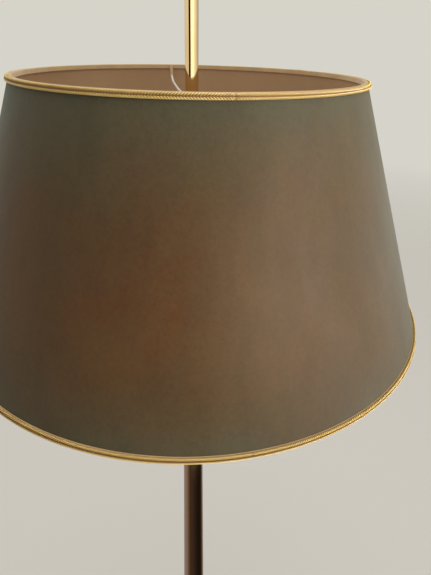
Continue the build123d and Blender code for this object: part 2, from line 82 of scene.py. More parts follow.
RIM_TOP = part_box("top_binding")[1].z
RIM_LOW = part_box("bottom_binding")[0].z
SHADE_HEIGHT = RIM_TOP - RIM_LOW
COVER_LOW, COVER_HIGH = (corner.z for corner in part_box("shade_cover"))
COVER_TOP_R = ring_radius("shade_cover", top=True)
COVER_LOW_R = ring_radius("shade_cover", top=False)
COVER_FLARE = (COVER_LOW_R - COVER_TOP_R) / (COVER_HIGH - COVER_LOW)
LINING_LOW, LINING_HIGH = (corner.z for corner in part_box("shade_lining"))
LINING_TOP_R = ring_radius("shade_lining", top=True)
BINDING_HEIGHT = RIM_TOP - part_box("top_binding")[0].z
TOP_TRIM_R = (half_width("top_trim_upper") + half_width("top_trim_lower")) / 2

# Azimuths on the shade, in degrees from +X. The front is at -90.
COVER_SEAM = 38.0
LINING_SEAM = 45.0
TRIM_JOIN = -80.3


def cover_radius(height):
    """Outer radius of the shade's cloth at a height."""
    return COVER_TOP_R + COVER_FLARE * (COVER_HIGH - height)


# ---------------------------------------------------------------- camera

CAMERA_DISTANCE = 2.79      # from the lamp's axis, in radii of the top trim
CAMERA_RISE = 0.178         # above the shade's top edge, in the same radii
CAMERA_YAW = 3.50           # degrees, towards +X
CAMERA_PITCH = 29.92        # degrees, down
CAMERA_ROLL = 1.52          # degrees
CAMERA_LENS = 27.05         # millimetres
CAMERA_SENSOR = 36          # millimetres, the picture's long side


def make_camera():
    yaw, pitch, roll = (math.radians(a) for a in (CAMERA_YAW, CAMERA_PITCH, CAMERA_ROLL))
    ahead = Vector((math.sin(yaw) * math.cos(pitch), math.cos(yaw) * math.cos(pitch), -math.sin(pitch)))
    level = Vector((math.cos(yaw), -math.sin(yaw), 0))
    above = level.cross(ahead)
    right = math.cos(roll) * level + math.sin(roll) * above
    up = -math.sin(roll) * level + math.cos(roll) * above
    data = bpy.data.cameras.new("camera")
    data.lens = CAMERA_LENS
    data.sensor_width = CAMERA_SENSOR
    camera = bpy.data.objects.new("camera", data)
    bpy.context.scene.collection.objects.link(camera)
    turn = Matrix((right, up, -ahead)).transposed().to_4x4()
    place = Vector((0, -CAMERA_DISTANCE * TOP_TRIM_R, RIM_TOP + CAMERA_RISE * TOP_TRIM_R))
    camera.matrix_world = Matrix.Translation(place) @ turn
    bpy.context.scene.camera = camera


make_camera()


# ---------------------------------------------------------------- meshes

RIPPLE_DRIFT = 6            # most radians that a wave drifts over the shade's height
RIPPLE_LEAST = 0.5          # least size of a wave, against 1 for the most


def grid_mesh(name, points, close_rows, close_columns, uv_size=(1.0, 1.0)):
    """A smooth mesh through a grid of points. A closed direction joins its last row to its first.
    The UV map runs from 0 to uv_size along the rows and the columns."""
    rows, columns = points.shape[:2]
    row_steps = rows if close_rows else rows - 1
    column_steps = columns if close_columns else columns - 1
    i, j = np.meshgrid(np.arange(row_steps), np.arange(column_steps), indexing="ij")
    corner_rows = np.stack([i, i + 1, i + 1, i], axis=-1).reshape(-1, 4)
    corner_columns = np.stack([j, j, j + 1, j + 1], axis=-1).reshape(-1, 4)
    faces = (corner_rows % rows) * columns + corner_columns % columns
    mesh = bpy.data.meshes.new(name)
    mesh.vertices.add(rows * columns)
    mesh.vertices.foreach_set("co", points.reshape(-1).astype(np.float32))
    mesh.loops.add(faces.size)
    mesh.loops.foreach_set("vertex_index", faces.reshape(-1).astype(np.int32))
    mesh.polygons.add(len(faces))
    mesh.polygons.foreach_set("loop_start", np.arange(0, faces.size, 4, dtype=np.int32))
    mesh.update(calc_edges=True)
    mesh.polygons.foreach_set("use_smooth", np.ones(len(faces), bool))
    uv = mesh.uv_layers.new(name="along_across")
    along = corner_rows / row_steps * uv_size[0]
    across = corner_columns / column_steps * uv_size[1]
    uv.data.foreach_set("uv", np.stack([along, across], axis=-1).reshape(-1).astype(np.float32))
    piece = bpy.data.objects.new(name, mesh)
    bpy.context.scene.collection.objects.link(piece)
    return piece


def full_turn(steps):
    """Evenly spaced angles once round, in radians."""
    return np.linspace(0, 2 * np.pi, steps, endpoint=False)


def around_axis(angles, radii, heights):
    """Points about the lamp's axis, from angles in radians, radii and heights of one shape."""
    return np.stack([radii * np.cos(angles), radii * np.sin(angles), heights], axis=-1)


def angle_from(angles, azimuth):
    """Signed angle, in radians, from an azimuth given in degrees."""
    return (angles - math.radians(azimuth) + np.pi) % (2 * np.pi) - np.pi


def strip(distance, half, edge):
    """1 inside a strip and 0 outside, with soft edges. The clip keeps the exponential finite."""
    inside = np.clip((half - np.abs(distance)) / edge, -40, 40)
    return 1 / (1 + np.exp(-inside))


def ripple(angles, drops, seed, waves, size):
    """Low smooth unevenness over a ring: a few waves round it that drift with the drop."""
    random = np.random.default_rng(seed)
    total = np.zeros(np.broadcast(angles, drops).shape)
    for wave in waves:
        phase = random.uniform(0, 2 * np.pi)
        drift = random.uniform(-RIPPLE_DRIFT, RIPPLE_DRIFT)
        share = random.uniform(RIPPLE_LEAST, 1)
        total = total + share * np.sin(wave * angles + phase + drift * drops / SHADE_HEIGHT)
    return size * total / len(waves)


def lathe(name, profile, segments, uv_size):
    """A turned piece about the lamp's axis, from a closed outline of (radius, height) points."""
    angles = full_turn(segments)[:, None]
    radii, heights = np.array(profile, float).T
    points = around_axis(angles + 0 * radii, 0 * angles + radii, 0 * angles + heights)
    return grid_mesh(name, points, True, True, uv_size)


# ---------------------------------------------------------------- shade: cloth and lining

COVER_THICK = 0.45 * MM
LINING_THICK = 0.3 * MM
SEAM_HALF = 6 * MM
SEAM_RISE = 0.4 * MM
SEAM_EDGE = 0.4 * MM
CLOTH_UNEVEN = 0.22 * MM
CLOTH_WAVES = (2, 3, 5, 8, 13)
CLOTH_SEGMENTS = 288
CLOTH_ROWS = 48


def cone_cloth(name, top_radius, top, low, thick, seam, seam_side, seed):
    """A closed cone of cloth between two heights, gently uneven, with an overlapped seam.
    seam_side is 1 where the seam stands outwards and -1 where it stands inwards."""
    angles = full_turn(CLOTH_SEGMENTS)[:, None]
    drops = np.linspace(0, top - low, CLOTH_ROWS)
    radii = top_radius + COVER_FLARE * drops
    away_from_rims = np.sin(np.pi * np.clip(drops / (top - low), 0, 1)) ** 0.5
    uneven = ripple(angles, drops, seed, CLOTH_WAVES, CLOTH_UNEVEN) * away_from_rims
    overlap = strip(angle_from(angles, seam) * radii, SEAM_HALF, SEAM_EDGE) * SEAM_RISE
    outer = radii + uneven + overlap * (seam_side > 0)
    inner = radii - thick + uneven - overlap * (seam_side < 0)
    section = np.concatenate([outer, inner[:, ::-1]], axis=1)
    heights = np.concatenate([top - drops, (top - drops)[::-1]])
    points = around_axis(angles + 0 * section, section, heights + 0 * section)
    return grid_mesh(name, points[:, ::-1], True, True, (2 * np.pi * top_radius, 2 * (top - low)))


def make_cover():
    cloth = cone_cloth("shade_cloth", COVER_TOP_R, COVER_HIGH, COVER_LOW, COVER_THICK, COVER_SEAM,
                       seam_side=1, seed=3)
    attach(cloth, "shade")
    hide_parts("shade_cover")
    return cloth


def make_lining():
    lining = cone_cloth("lining_cloth", LINING_TOP_R, LINING_HIGH, LINING_LOW, LINING_THICK, LINING_SEAM,
                        seam_side=-1, seed=5)
    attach(lining, "shade")
    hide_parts("shade_lining")
    return lining


# ---------------------------------------------------------------- shade: binding tape

TAPE_THICK = 0.25 * MM
TAPE_CORNER = 0.9 * MM      # reach of the tape's two bends over the rim
TAPE_OVER_CLOTH = 0.04 * MM
TAPE_PUCKER = 0.16 * MM
PUCKER_WAVES = (61, 83, 97, 131, 173)
LAP_HALF = 5 * MM           # the tape's ends lap at the cover's seam
LAP_RISE = 0.35 * MM
TAPE_SEGMENTS = 720
TAPE_ROWS = 8               # on each straight side
TAPE_BEND_ROWS = 7


def tape_path(edge, away, inner_radius):
    """The binding's middle line in (radius, height), from its outer edge over the rim to its inner
    edge. away is -1 at the top rim, where the tape hangs down, and 1 at the bottom rim."""
    half = TAPE_THICK / 2
    low = edge + away * BINDING_HEIGHT
    turn_at = edge + away * TAPE_CORNER
    outside_r = TAPE_OVER_CLOTH + half
    outside = [(cover_radius(z) + outside_r, z) for z in np.linspace(low, turn_at, TAPE_ROWS)]
    inner_r = inner_radius + half
    bend = np.radians(np.linspace(0, 90, TAPE_BEND_ROWS))
    falls = edge + away * half + away * (TAPE_CORNER - half) * (1 - np.sin(bend))
    over = TAPE_CORNER * (1 - np.cos(bend))
    outer_bend = list(zip(outside[-1][0] - over, falls))
    inner_bend = list(zip(inner_r + over, falls))[::-1]
    inside = [(inner_r, z) for z in np.linspace(turn_at, low, TAPE_ROWS)]
    return np.array(outside[:-1] + outer_bend + inner_bend + inside[1:])


def make_binding(name, node, edge, away, seed):
    """The tape folded over a rim of the shade, puckered inside it and lapped at the seam."""
    inner_radius = inner_edge_radius(node)
    path = tape_path(edge, away, inner_radius)
    tangent = np.gradient(path, axis=0)
    normal = np.stack([-tangent[:, 1], tangent[:, 0]], axis=1)
    normal /= np.linalg.norm(normal, axis=1)[:, None]
    half = TAPE_THICK / 2
    section = np.concatenate([path + half * normal, (path - half * normal)[::-1]])
    angles = full_turn(TAPE_SEGMENTS)[:, None]
    depth = np.abs(section[:, 1] - edge) / BINDING_HEIGHT
    inside = section[:, 0] < inner_radius + 2 * TAPE_THICK
    pucker = ripple(angles, 0 * depth, seed, PUCKER_WAVES, TAPE_PUCKER)
    radii = section[:, 0] + pucker * inside * depth ** 2
    lap = np.exp(-(angle_from(angles, COVER_SEAM) * inner_radius / LAP_HALF) ** 2) * LAP_RISE
    heights = section[:, 1] + 0 * radii - away * lap * (1 - depth)
    points = around_axis(angles + 0 * radii, radii, heights)
    tape = grid_mesh(name, points[:, ::-1], True, True, (2 * np.pi * inner_radius, 2 * BINDING_HEIGHT))
    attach(tape, "shade")
    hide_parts(node)
    return tape


# ---------------------------------------------------------------- shade: twisted trim cords

STRANDS = 3
STRAND_LAY = 6.2 * MM
CORD_AROUND = 20
STEPS_PER_LAY = 16
CORD_SEED = 17
CORD_SWELL = 0.03           # share of a cord's thickness
SWELL_WAVES = (23, 41, 67, 89)
JOIN_HALF = 1.0 * MM
JOIN_PINCH = 0.6            # share of a cord's thickness

# Of each cord: its CAD node, which way it is twisted, and its phase in radians.
TRIM_CORDS = (
    ("top_trim_upper", 1, 0.0),
    ("top_trim_lower", -1, 0.6),
    ("bottom_trim_upper", 1, 1.1),
    ("bottom_trim_lower", -1, 0.4),
)


def lobed_section(radius):
    """Angles and radii of the outline of three touching strands inside a circle."""
    strand = radius * math.sin(math.pi / STRANDS) / (1 + math.sin(math.pi / STRANDS))
    offset = radius - strand
    around = full_turn(CORD_AROUND)
    lobe = 2 * np.pi / STRANDS
    from_strand = (around + lobe / 2) % lobe - lobe / 2
    reach = strand ** 2 - (offset * np.sin(from_strand)) ** 2
    return around, offset * np.cos(from_strand) + np.sqrt(np.clip(reach, 0, None))


def make_trim_cord(node, twist, phase):
    """A round of twisted cord. twist is 1 or -1, so that two cords side by side make a herringbone."""
    low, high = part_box(node)
    cord_radius = (high.z - low.z) / 2
    ring = high.x - cord_radius
    middle = (low.z + high.z) / 2
    lays = round(2 * np.pi * ring / STRAND_LAY)
    angles = full_turn(lays * STEPS_PER_LAY)[:, None]
    around, outline = lobed_section(cord_radius)
    turn = around + twist * lays * angles + phase
    join = np.exp(-(angle_from(angles, TRIM_JOIN) * ring / JOIN_HALF) ** 2)
    seed = CORD_SEED + round(phase * 10)
    swell = CORD_SWELL * ripple(angles, 0 * around, seed, SWELL_WAVES, 1.0)
    size = outline * (1 + swell - JOIN_PINCH * join)
    radii = ring + size * np.cos(turn)
    heights = middle + size * np.sin(turn)
    points = around_axis(angles + 0 * radii, radii, heights)
    cord = grid_mesh(node + "_cord", points, True, True, (lays * STRANDS, STRANDS))
    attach(cord, "shade")
    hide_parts(node)
    return cord


# ---------------------------------------------------------------- shade: painted-shade threads and arm wraps

THREAD_R = 0.35 * MM
THREAD_REACH = 0.8 * MM     # out from the line between the two cords' middles
THREAD_STEPS = 1440
THREAD_AROUND = 8
THREAD_SEED = 29
THREAD_SLACK = 0.08 * MM
SLACK_WAVES = (180, 211, 240)

WRAP_R = 1.9 * MM
WRAP_BORE = 1.3 * MM
WRAP_TURNS = 6
WRAP_RIDGE = 0.16 * MM
WRAP_TAPER = 0.35 * MM
WRAP_END = 0.02             # share of the wrap's length at each end that has the full taper
WRAP_AROUND = 20
WRAP_STEPS = 64
BORE_STEPS = 12
ARM_END = 0.5 * MM              # the wrap ends where the arm is this near its highest point
ARM_BELOW = (7 * MM, 13 * MM)   # and starts in the middle of this stretch under the shade's top


def make_painted_shade_thread(name, inner_node, outer_node):
    """A dark thread laid outside two cords, midway between them: painted shade in the gap between the
    cords.
    """
    (low_a, high_a), (low_b, high_b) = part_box(inner_node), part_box(outer_node)
    cord_radius = (high_a.z - low_a.z) / 2
    ring = (high_a.x + high_b.x) / 2 - cord_radius + THREAD_REACH
    middle = (low_a.z + high_a.z + low_b.z + high_b.z) / 4
    angles = full_turn(THREAD_STEPS)[:, None]
    around = full_turn(THREAD_AROUND)
    slack = ripple(angles, 0 * around, THREAD_SEED, SLACK_WAVES, THREAD_SLACK)
    radii = ring + THREAD_R * np.cos(around) + slack
    heights = middle + THREAD_R * np.sin(around) + 0 * angles
    thread = grid_mesh(name, around_axis(angles + 0 * radii, radii, heights), True, True)
    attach(thread, "shade")
    return thread


def make_arm_wrap(number):
    """Tape wound round the upper end of a spider arm, where it is bound to the top ring."""
    corners = corners_of(f"spider_arm_{number}")
    drop = RIM_TOP - corners[:, 2]
    top = corners[drop < drop.min() + ARM_END].mean(axis=0)
    low = corners[(drop > ARM_BELOW[0]) & (drop < ARM_BELOW[1])].mean(axis=0)
    out = top * (1, 1, 0) / np.hypot(top[0], top[1])
    side = np.cross((0, 0, 1), out)
    around = full_turn(WRAP_AROUND)
    outside = np.linspace(0, 1, WRAP_STEPS)[:, None]
    inside = np.linspace(1, 0, BORE_STEPS)[:, None]
    ridges = WRAP_RIDGE * np.abs(np.sin(np.pi * WRAP_TURNS * outside + around / 2))
    taper = WRAP_TAPER * (1 - np.sin(np.pi * np.clip(outside, WRAP_END, 1 - WRAP_END)) ** 0.3)
    radii = np.concatenate([WRAP_R + ridges - taper, WRAP_BORE + 0 * inside + 0 * around])
    middle = low + (top - low) * np.concatenate([outside, inside])
    across = (radii * np.cos(around))[..., None] * out
    along = (radii * np.sin(around))[..., None] * side
    wrap = grid_mesh(f"arm_wrap_{number}", (middle[:, None, :] + across + along)[:, ::-1], True, True)
    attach(wrap, "shade")
    return wrap


# ---------------------------------------------------------------- stand: turned brass and felt

ROD_BEVEL = 0.3 * MM
ROD_WALL = 1.35 * MM
ROD_SEGMENTS = 96
COLUMN_BEVEL = 0.2 * MM
COLUMN_WALL = 1.2 * MM
COLUMN_SEGMENTS = 128
TUBE_RINGS = 25
TUBE_END = 0.02             # share of a tube's length before its first ring
FELT_SLACK = 0.4 * MM
FELT_WAVES = (7, 19, 37, 71)
FELT_SEED = 13
FELT_SEGMENTS = 256
FELT_ROWS = 12
FELT_EDGE_ROWS = 9


def make_tube(name, node, body, bevel, wall, segments):
    """A polished tube in place of a CAD tube about the axis, with slightly rounded ends."""
    low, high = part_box(node)
    low_r, high_r = ring_radius(node, top=False), ring_radius(node, top=True)
    outside = [(low_r - bevel, low.z), (low_r, low.z + bevel)]
    for share in np.linspace(TUBE_END, 1 - TUBE_END, TUBE_RINGS):
        outside.append((low_r + (high_r - low_r) * share, low.z + (high.z - low.z) * share))
    outside += [(high_r, high.z - bevel), (high_r - bevel, high.z)]
    inside = [(high_r - wall, high.z), (low_r - wall, low.z)]
    tube = lathe(name, outside + inside, segments, (1.0, high.z - low.z))
    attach(tube, body)
    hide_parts(node)
    return tube


def make_felt():
    """The felt ring glued under the base, softly rounded and a little uneven at its edges."""
    low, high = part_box("base_felt")
    half = (high.z - low.z) / 2
    outer = half_width("base_felt") - FELT_SLACK
    inner = inner_edge_radius("base_felt") + FELT_SLACK
    bend = np.radians(np.linspace(-90, 90, FELT_EDGE_ROWS))
    inward = np.linspace(outer - half, inner + half, FELT_ROWS)[1:-1]
    rounding = half * (1 - np.cos(bend))
    radii = np.concatenate([outer - rounding, inward, inner + rounding, inward[::-1]])
    rises = np.concatenate([np.sin(bend), 1 + 0 * inward, np.sin(bend[::-1]), -1 + 0 * inward])
    angles = full_turn(FELT_SEGMENTS)[:, None]
    uneven = ripple(angles, 0 * radii, FELT_SEED, FELT_WAVES, FELT_SLACK)
    heights = (low.z + high.z) / 2 + half * rises + 0 * angles
    felt = grid_mesh("felt_ring", around_axis(angles + 0 * radii, radii + uneven, heights), True, True)
    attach(felt, "stand")
    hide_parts("base_felt")
    return felt


# ---------------------------------------------------------------- node trees

def linear(red, green, blue):
    """A colour given in sRGB, 0 to 255, as the shader's linear values."""
    def decode(value):
        part = value / 255
        return part / 12.92 if part <= 0.04045 else ((part + 0.055) / 1.055) ** 2.4
    return (decode(red), decode(green), decode(blue), 1.0)


def dimmed(colour, share):
    """A linear colour with its brightness multiplied."""
    return tuple(part * share for part in colour[:3]) + (1.0,)


class Nodes:
    """A node tree being wired up. A value given to a node is a number, a colour or another's output."""

    def __init__(self, tree):
        self.tree = tree

    def add(self, kind, **settings):
        made = self.tree.nodes.new("ShaderNode" + kind)
        for key, value in settings.items():
            setattr(made, key, value)
        return made

    def feed(self, socket, value):
        if isinstance(value, (int, float, tuple)):
            socket.default_value = value
        else:
            self.tree.links.new(value, socket)

    def ramp(self, source, *stops):
        """Values or colours at positions along a source."""
        made = self.add("ValToRGB")
        elements = made.color_ramp.elements
        while len(elements) < len(stops):
            elements.new(0.5)
        for element, (position, value) in zip(elements, stops):
            element.position = position
            element.color = value if isinstance(value, tuple) else (value, value, value, 1)
        self.feed(made.inputs["Fac"], source)
        return made.outputs["Color"]

    def rescale(self, source, low, high, to_low=0.0, to_high=1.0):
        """A source's stretch from low to high, mapped to another and held inside it."""
        made = self.add("MapRange")
        ends = {"From Min": low, "From Max": high, "To Min": to_low, "To Max": to_high}
        for socket, value in ends.items():
            made.inputs[socket].default_value = value
        self.feed(made.inputs["Value"], source)
        return made.outputs["Result"]

    def calculate(self, operation, first, second=0.0):
        made = self.add("Math", operation=operation)
        self.feed(made.inputs[0], first)
        self.feed(made.inputs[1], second)
        return made.outputs["Value"]

    def component(self, vector, letter):
        made = self.add("SeparateXYZ")
        self.feed(made.inputs["Vector"], vector)
        return made.outputs[letter]

    def by_azimuth(self, direction, stops):
        """Colours at azimuths in degrees from the front, over the azimuth of a direction or place."""
        front = self.calculate("MULTIPLY", self.component(direction, "Y"), -1)
        angle = self.calculate("ARCTAN2", self.component(direction, "X"), front)
        turned = self.rescale(angle, -math.pi, math.pi)
        return self.ramp(turned, *[((degrees + 180) / 360, colour) for degrees, colour in stops])

    def choose(self, factor, first, second):
        """The first shader where a factor is 0, the second where it is 1."""
        made = self.add("MixShader")
        for socket, value in zip(made.inputs, (factor, first, second)):
            self.feed(socket, value)
        return made.outputs[0]

    def glow(self, kind, colour, strength=1.0):
        """A shader that gives light: Emission, or a world's Background."""
        made = self.add(kind)
        self.feed(made.inputs["Color"], colour)
        self.feed(made.inputs["Strength"], strength)
        return made.outputs[0]


SOCKETS = {
    "metallic": "Metallic",
    "specular": "Specular IOR Level",
    "sheen": "Sheen Weight",
    "sheen_roughness": "Sheen Roughness",
    "sheen_tint": "Sheen Tint",
    "transmission": "Transmission Weight",
    "ior": "IOR",
    "subsurface": "Subsurface Weight",
    "subsurface_scale": "Subsurface Scale",
}


WAVE_BANDS = 20 / (2 * math.pi)     # bands per metre of a wave texture, for a scale of 1


class Surface(Nodes):
    """A material being made: its node tree and its Principled shader."""

    def __init__(self, name, colour, roughness, **constants):
        self.material = bpy.data.materials.new(name)
        self.material.use_nodes = True
        super().__init__(self.material.node_tree)
        self.shader = self.tree.nodes["Principled BSDF"]
        self.shader.inputs["Base Color"].default_value = colour
        self.shader.inputs["Roughness"].default_value = roughness
        for socket, value in constants.items():
            self.shader.inputs[SOCKETS[socket]].default_value = value
        self.last_bump = None
        self.place = self.add("TexCoord").outputs["Object"]

    def noise(self, scale, detail=2.0, roughness=0.5, stretch=(1, 1, 1), distortion=0.0):
        """Noise over the object's own coordinates, in features per metre."""
        mapping = self.add("Mapping")
        mapping.inputs["Scale"].default_value = stretch
        self.feed(mapping.inputs["Vector"], self.place)
        made = self.add("TexNoise")
        made.inputs["Scale"].default_value = scale
        made.inputs["Detail"].default_value = detail
        made.inputs["Roughness"].default_value = roughness
        made.inputs["Distortion"].default_value = distortion
        self.feed(made.inputs["Vector"], mapping.outputs["Vector"])
        return made.outputs["Fac"]

    def blend(self, first, second, source, low=0.3, high=0.7, least=0.0, most=1.0):
        """A first colour with a second over it. As the source goes from low to high, the second's
        share goes from least to most. By default the source is a noise, and both colours are full."""
        made = self.add("Mix", data_type="RGBA")
        factor = self.rescale(source, low, high, least, most)
        for socket, value in zip((made.inputs[0], made.inputs[6], made.inputs[7]), (factor, first, second)):
            self.feed(socket, value)
        return made.outputs[2]

    def distance_from(self, point, spread):
        """0 at a point and 1 on the ellipsoid round it with the given half-sizes."""
        offset = self.add("VectorMath", operation="SUBTRACT")
        self.feed(offset.inputs[0], self.place)
        self.feed(offset.inputs[1], point)
        scaled = self.add("VectorMath", operation="DIVIDE")
        self.feed(scaled.inputs[0], offset.outputs["Vector"])
        self.feed(scaled.inputs[1], spread)
        length = self.add("VectorMath", operation="LENGTH")
        self.feed(length.inputs[0], scaled.outputs["Vector"])
        return length.outputs["Value"]

    def weave(self, threads_per_metre):
        """A plain weave's height: bands of thread up the piece, broken by a fine noise."""
        bands = self.add("TexWave", wave_type="BANDS", bands_direction="Z")
        bands.inputs["Scale"].default_value = threads_per_metre / WAVE_BANDS
        self.feed(bands.inputs["Vector"], self.place)
        fine = self.noise(threads_per_metre * 1.4, detail=1, stretch=(1, 1, 0.25))
        return self.calculate("ADD", self.calculate("MULTIPLY", bands.outputs["Fac"], 0.6), fine)

    def paint(self, colour):
        self.feed(self.shader.inputs["Base Color"], colour)

    def roughen(self, value):
        self.feed(self.shader.inputs["Roughness"], value)

    def emboss(self, height, distance, strength=1.0):
        """Adds a bump on top of the bumps made before it."""
        made = self.add("Bump")
        made.inputs["Distance"].default_value = distance
        made.inputs["Strength"].default_value = strength
        self.feed(made.inputs["Height"], height)
        if self.last_bump:
            self.feed(made.inputs["Normal"], self.last_bump)
        self.last_bump = made.outputs["Normal"]
        self.feed(self.shader.inputs["Normal"], self.last_bump)

    def show(self, shader):
        """Shows another shader in place of the Principled one."""
        self.feed(self.tree.nodes["Material Output"].inputs["Surface"], shader)


# ---------------------------------------------------------------- materials: the shade

# Painted light, shade and sheen on the cloth, as a middle and half-sizes in metres.
SHADED_SPOT = (-0.035, -0.2, RIM_LOW + 0.45 * SHADE_HEIGHT)    # painted shade: a warmer, deeper patch in the middle front, where no sheen shows
SHADED_SPREAD = (0.085, 0.12, 0.11)
LIT_SPOT = (0.052, -0.19, RIM_LOW + 0.42 * SHADE_HEIGHT)   # painted light: a paler patch right of the middle front
LIT_SPREAD = (0.06, 0.12, 0.14)
SHEEN_SPOT = (0.2, -0.1, RIM_LOW + 0.6 * SHADE_HEIGHT)        # painted sheen: a greyer patch on the right side
SHEEN_SPREAD = (0.1, 0.11, 0.22)

# How green the cloth is, from its lower rim at 0 to its upper rim at 1: partly its own tone, partly painted
# sheen.
GREENNESS_AND_SHEEN = ((0.0, 0.7), (0.07, 0.3), (0.2, 0.05), (0.4, 0.0), (0.7, 0.1), (0.88, 0.5), (1.0, 1.0))


def shade_cloth_material():
    """Olive-brown cloth with a slight gloss, with a cloudy nap and faint soft streaks down it. It is
    greener towards the rims, partly its own tone and partly painted sheen; it has a warm, deeper patch of
    painted shade in the middle front, a paler patch of painted light right of that, a greyer patch of
    painted sheen on its right side, and painted shade darkening it towards the lower rim."""
    warm, deep = linear(85, 59, 23), linear(77, 54, 23)
    made = Surface("shade_cloth", warm, 0.66, specular=0.18, sheen=0.21, sheen_roughness=0.42,
                   sheen_tint=linear(186, 208, 203))
    level = made.rescale(made.component(made.place, "Z"), RIM_LOW, RIM_TOP)
    clouds = made.noise(7, detail=3, roughness=0.55)
    patches = made.noise(11, detail=4, roughness=0.6, distortion=0.6)
    streaks = made.noise(34, detail=4, roughness=0.6, stretch=(1, 1, 0.14))
    nap = made.noise(60, detail=4, roughness=0.6, stretch=(1, 1, 0.45))
    fibres = made.noise(300, detail=5, roughness=0.65, stretch=(1, 1, 0.8))
    grain = made.noise(1300, detail=3, roughness=0.7)
    # Painted shade: a warm, deeper patch in the middle front, made patchy by a noise.
    shaded_front = made.rescale(made.distance_from(SHADED_SPOT, SHADED_SPREAD), 1.0, 0.0, 0.0, 0.75)
    shaded_front = made.calculate("ADD", shaded_front, made.rescale(patches, 0.42, 0.72, -0.1, 0.45))
    # Painted light: the paler patch right of the middle front.
    lit_patch = made.distance_from(LIT_SPOT, LIT_SPREAD)
    # Painted sheen: the greyer patch on the right side.
    sheen_patch = made.distance_from(SHEEN_SPOT, SHEEN_SPREAD)
    uneven_level = made.calculate("ADD", level, made.rescale(clouds, 0.3, 0.7, -0.06, 0.06))
    green = made.ramp(uneven_level, *GREENNESS_AND_SHEEN)
    body = made.blend(warm, deep, clouds, 0.35, 0.65)
    # Each layer: what it follows, from where to where, its greatest share, and its colour.
    layers = (
        # painted shade: the warm, deeper patch in the middle front
        (shaded_front, 0.0, 1.0, 1.0, linear(93, 46, 6)),
        # painted light: the paler patch right of the middle front
        (lit_patch, 1.0, 0.0, 0.6, linear(116, 90, 64)),
        # painted sheen: the greyer patch on the right side
        (sheen_patch, 1.0, 0.0, 0.9, linear(88, 88, 78)),
        # painted shade: darker towards the lower rim
        (level, 0.3, 0.0, 0.4, linear(50, 34, 16)),
        # partly the cloth's own green, partly painted sheen, towards the rims
        (green, 0.0, 1.0, 1.0, linear(71, 73, 53)),
        (streaks, 0.35, 0.7, 0.35, linear(52, 40, 24)),
        (nap, 0.3, 0.7, 0.25, linear(94, 76, 48)),
        (fibres, 0.4, 0.65, 0.1, linear(104, 80, 48)),
        (fibres, 0.55, 0.3, 0.1, linear(48, 34, 16)),
        (grain, 0.3, 0.7, 0.3, linear(46, 34, 20)),
    )
    for source, low, high, share, colour in layers:
        body = made.blend(body, colour, source, low, high, 0.0, share)
    made.paint(body)
    made.roughen(made.rescale(nap, 0.3, 0.7, 0.62, 0.72))
    made.emboss(made.noise(2600, detail=2, roughness=0.6), 0.05 * MM, 0.5)
    made.emboss(nap, 0.2 * MM, 0.3)
    return made.material


def lining_material():
    """Matt gold-brown lining."""
    made = Surface("lining", linear(172, 136, 100), 0.8, specular=0.3, sheen=0.1,
                   sheen_tint=linear(210, 190, 160))
    body = made.blend(linear(200, 167, 132), linear(187, 152, 116), made.noise(14, detail=3))
    threads = made.weave(1600)
    made.paint(made.blend(body, linear(156, 122, 88), threads, 0.3, 1.1, 0, 0.2))
    made.emboss(threads, 0.04 * MM, 0.3)
    return made.material


def tape_material():
    """Champagne satin binding tape with a fine rib."""
    made = Surface("binding_satin", linear(218, 190, 148), 0.48, specular=0.45, sheen=0.25,
                   sheen_tint=linear(245, 230, 200))
    body = made.blend(linear(212, 181, 134), linear(197, 164, 117), made.noise(60, detail=3))
    ribs = made.weave(2400)
    made.paint(made.blend(body, linear(184, 150, 108), ribs, 0.3, 1.1, 0, 0.25))
    made.emboss(ribs, 0.05 * MM, 0.5)
    return made.material


def cord_material():
    """Twisted gold rayon: each strand is a bundle of fine bright filaments, with painted shade in the
    grooves between strands.
    """
    made = Surface("gold_rayon", linear(226, 190, 108), 0.3, specular=0.9, sheen=0.1,
                   sheen_tint=linear(250, 230, 170))
    uv = made.add("UVMap", uv_map="along_across").outputs["UV"]
    wave = made.add("TexWave", wave_type="BANDS", bands_direction="DIAGONAL")
    wave.inputs["Scale"].default_value = 1.3
    wave.inputs["Distortion"].default_value = 1.5
    wave.inputs["Detail"].default_value = 2.0
    made.feed(wave.inputs["Vector"], uv)
    filaments = wave.outputs["Fac"]
    over_strand = made.calculate("FRACT", made.component(uv, "Y"))
    from_middle = made.calculate("ABSOLUTE", made.calculate("SUBTRACT", over_strand, 0.5))
    # painted shade: darker colour in the grooves between strands
    groove_shade = made.ramp(from_middle, (0.0, 1.0), (0.2, 0.94), (0.32, 0.5), (0.42, 0.0))
    body = made.blend(linear(245, 213, 112), linear(234, 194, 90), made.noise(160, detail=3))
    body = made.blend(body, linear(196, 136, 44), filaments, 0, 1, 0.15, 0)
    made.paint(made.blend(body, linear(124, 84, 22), groove_shade, 0, 1))
    made.emboss(filaments, 0.06 * MM, 0.4)
    return made.material


def painted_shade_thread_material():
    """Dark brown thread: painted shade between two cords."""
    made = Surface("painted_shade_brown", linear(108, 71, 29), 0.7, specular=0.3, sheen=0.1)
    twist = made.noise(1500, detail=2)
    made.paint(made.blend(linear(128, 86, 36), linear(88, 56, 22), twist))
    made.emboss(twist, 0.05 * MM, 0.5)
    return made.material


# ---------------------------------------------------------------- materials: the stand and the fittings

